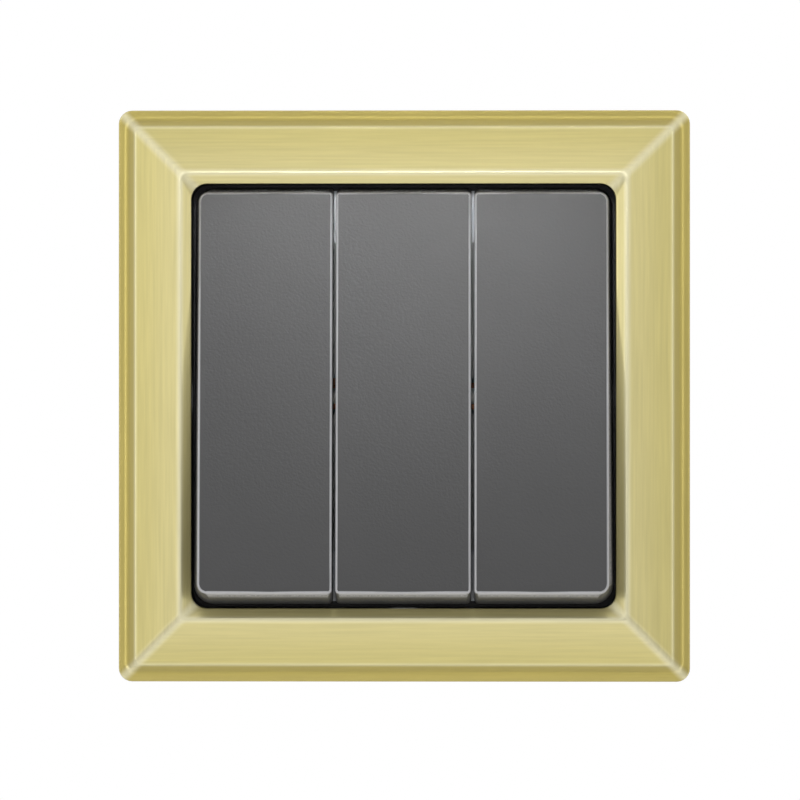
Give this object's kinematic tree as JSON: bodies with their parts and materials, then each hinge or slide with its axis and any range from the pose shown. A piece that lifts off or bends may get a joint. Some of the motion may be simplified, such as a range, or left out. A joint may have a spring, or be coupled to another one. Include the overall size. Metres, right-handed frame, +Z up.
{
  "type": "triple rocker switch",
  "caption": "Square flush wall switch: mitred brass cover frame round three tilting finger plates, with its insert, terminals and spreader claws behind.",
  "frame": {"origin": "middle of the support ring's rear face, in the wall surface, between its two box-screw slots", "axes": "-Y out of the wall towards the room, +Z up, +X to the right as seen from the room"},
  "size_m": [0.0856, 0.0368, 0.0856],
  "materials": {
    "brass": "brushed",
    "anthracite": "satin",
    "black_plastic": "matt",
    "zinc_steel": "zinc plated",
    "grey_moulding": "moulded",
    "white_moulding": "moulded",
    "spring_steel": "bright",
    "copper": "rolled",
    "silver": "satin",
    "release_plastic": "moulded"
  },
  "bodies": {
    "insert": {"cover_frame": "brass", "frame_carrier": "black_plastic", "support_ring": "zinc_steel", "bearing_plate": "grey_moulding", "insert_housing": "grey_moulding", "insert_rivets": "zinc_steel", "common_busbar": "copper", "left_output_strip": "copper", "middle_output_strip": "copper", "right_output_strip": "copper", "fixed_contact_buttons": "silver", "common_clamp_spring": "spring_steel", "left_clamp_spring": "spring_steel", "middle_clamp_spring": "spring_steel", "right_clamp_spring": "spring_steel", "claw_pins": "zinc_steel"},
    "left_rocker": {"left_rocker": "anthracite", "left_cradle": "white_moulding"},
    "left_plunger": {"left_plunger": "white_moulding", "left_plunger_spring": "spring_steel"},
    "left_contact": {"left_contact_lever": "copper", "left_moving_contact": "silver"},
    "middle_rocker": {"middle_rocker": "anthracite", "middle_cradle": "white_moulding"},
    "middle_plunger": {"middle_plunger": "white_moulding", "middle_plunger_spring": "spring_steel"},
    "middle_contact": {"middle_contact_lever": "copper", "middle_moving_contact": "silver"},
    "right_rocker": {"right_rocker": "anthracite", "right_cradle": "white_moulding"},
    "right_plunger": {"right_plunger": "white_moulding", "right_plunger_spring": "spring_steel"},
    "right_contact": {"right_contact_lever": "copper", "right_moving_contact": "silver"},
    "common_release": {"common_release_lever": "release_plastic"},
    "left_release": {"left_release_lever": "release_plastic"},
    "middle_release": {"middle_release_lever": "release_plastic"},
    "right_release": {"right_release_lever": "release_plastic"},
    "right_claw": {"right_claw": "zinc_steel"},
    "right_claw_screw": {"right_claw_screw": "zinc_steel"},
    "left_claw": {"left_claw": "zinc_steel"},
    "left_claw_screw": {"left_claw_screw": "zinc_steel"}
  },
  "joints": [
    {"name": "left_rocker_tilt", "type": "hinge", "parent": "insert", "child": "left_rocker", "pos_m": [0, -0.0032, 0], "axis": [1, 0, 0], "range_deg": [0, 10]},
    {"name": "left_plunger_travel", "type": "slide", "parent": "left_rocker", "child": "left_plunger", "axis": [0, -0.9962, 0.0872], "range_m": [0, 0.0009], "stiffness_N_per_m": 900, "springref_m": -0.0012, "deforming": ["left_plunger_spring"]},
    {"name": "left_contact_tilt", "type": "hinge", "parent": "insert", "child": "left_contact", "pos_m": [0, 0.00668, 0], "axis": [1, 0, 0], "range_deg": [-12, 0]},
    {"name": "middle_rocker_tilt", "type": "hinge", "parent": "insert", "child": "middle_rocker", "pos_m": [0, -0.0032, 0], "axis": [1, 0, 0], "range_deg": [0, 10]},
    {"name": "middle_plunger_travel", "type": "slide", "parent": "middle_rocker", "child": "middle_plunger", "axis": [0, -0.9962, 0.0872], "range_m": [0, 0.0009], "stiffness_N_per_m": 900, "springref_m": -0.0012, "deforming": ["middle_plunger_spring"]},
    {"name": "middle_contact_tilt", "type": "hinge", "parent": "insert", "child": "middle_contact", "pos_m": [0, 0.00668, 0], "axis": [1, 0, 0], "range_deg": [-12, 0]},
    {"name": "right_rocker_tilt", "type": "hinge", "parent": "insert", "child": "right_rocker", "pos_m": [0, -0.0032, 0], "axis": [1, 0, 0], "range_deg": [0, 10]},
    {"name": "right_plunger_travel", "type": "slide", "parent": "right_rocker", "child": "right_plunger", "axis": [0, -0.9962, 0.0872], "range_m": [0, 0.0009], "stiffness_N_per_m": 900, "springref_m": -0.0012, "deforming": ["right_plunger_spring"]},
    {"name": "right_contact_tilt", "type": "hinge", "parent": "insert", "child": "right_contact", "pos_m": [0, 0.00668, 0], "axis": [1, 0, 0], "range_deg": [-12, 0]},
    {"name": "common_release_push", "type": "slide", "parent": "insert", "child": "common_release", "axis": [0, -1, 0], "range_m": [0, 0.0012], "stiffness_N_per_m": 1200, "springref_m": -0.0008, "deforming": ["common_clamp_spring"]},
    {"name": "left_release_push", "type": "slide", "parent": "insert", "child": "left_release", "axis": [0, -1, 0], "range_m": [0, 0.0012], "stiffness_N_per_m": 1200, "springref_m": -0.0008, "deforming": ["left_clamp_spring"]},
    {"name": "middle_release_push", "type": "slide", "parent": "insert", "child": "middle_release", "axis": [0, -1, 0], "range_m": [0, 0.0012], "stiffness_N_per_m": 1200, "springref_m": -0.0008, "deforming": ["middle_clamp_spring"]},
    {"name": "right_release_push", "type": "slide", "parent": "insert", "child": "right_release", "axis": [0, -1, 0], "range_m": [0, 0.0012], "stiffness_N_per_m": 1200, "springref_m": -0.0008, "deforming": ["right_clamp_spring"]},
    {"name": "right_screw_turn", "type": "hinge", "parent": "insert", "child": "right_claw_screw", "pos_m": [0.0246, 0, 0.0085], "axis": [0, 1, 0], "range_deg": [0, 1260]},
    {"name": "right_claw_spread", "type": "hinge", "parent": "insert", "child": "right_claw", "pos_m": [0.0213, 0.009, 0], "axis": [0, 0, -1], "range_deg": [0, 28]},
    {"name": "left_screw_turn", "type": "hinge", "parent": "insert", "child": "left_claw_screw", "pos_m": [-0.0246, 0, -0.0085], "axis": [0, 1, 0], "range_deg": [0, 1260]},
    {"name": "left_claw_spread", "type": "hinge", "parent": "insert", "child": "left_claw", "pos_m": [-0.0213, 0.009, 0], "axis": [0, 0, 1], "range_deg": [0, 28]}
  ],
  "couplings": [
    {"joint": "left_contact_tilt", "follows": "left_rocker_tilt", "ratio": -1.1999},
    {"joint": "middle_contact_tilt", "follows": "middle_rocker_tilt", "ratio": -1.1999},
    {"joint": "right_contact_tilt", "follows": "right_rocker_tilt", "ratio": -1.1999},
    {"joint": "right_claw_spread", "follows": "right_screw_turn", "ratio": 0.02222},
    {"joint": "left_claw_spread", "follows": "left_screw_turn", "ratio": 0.02222}
  ]
}
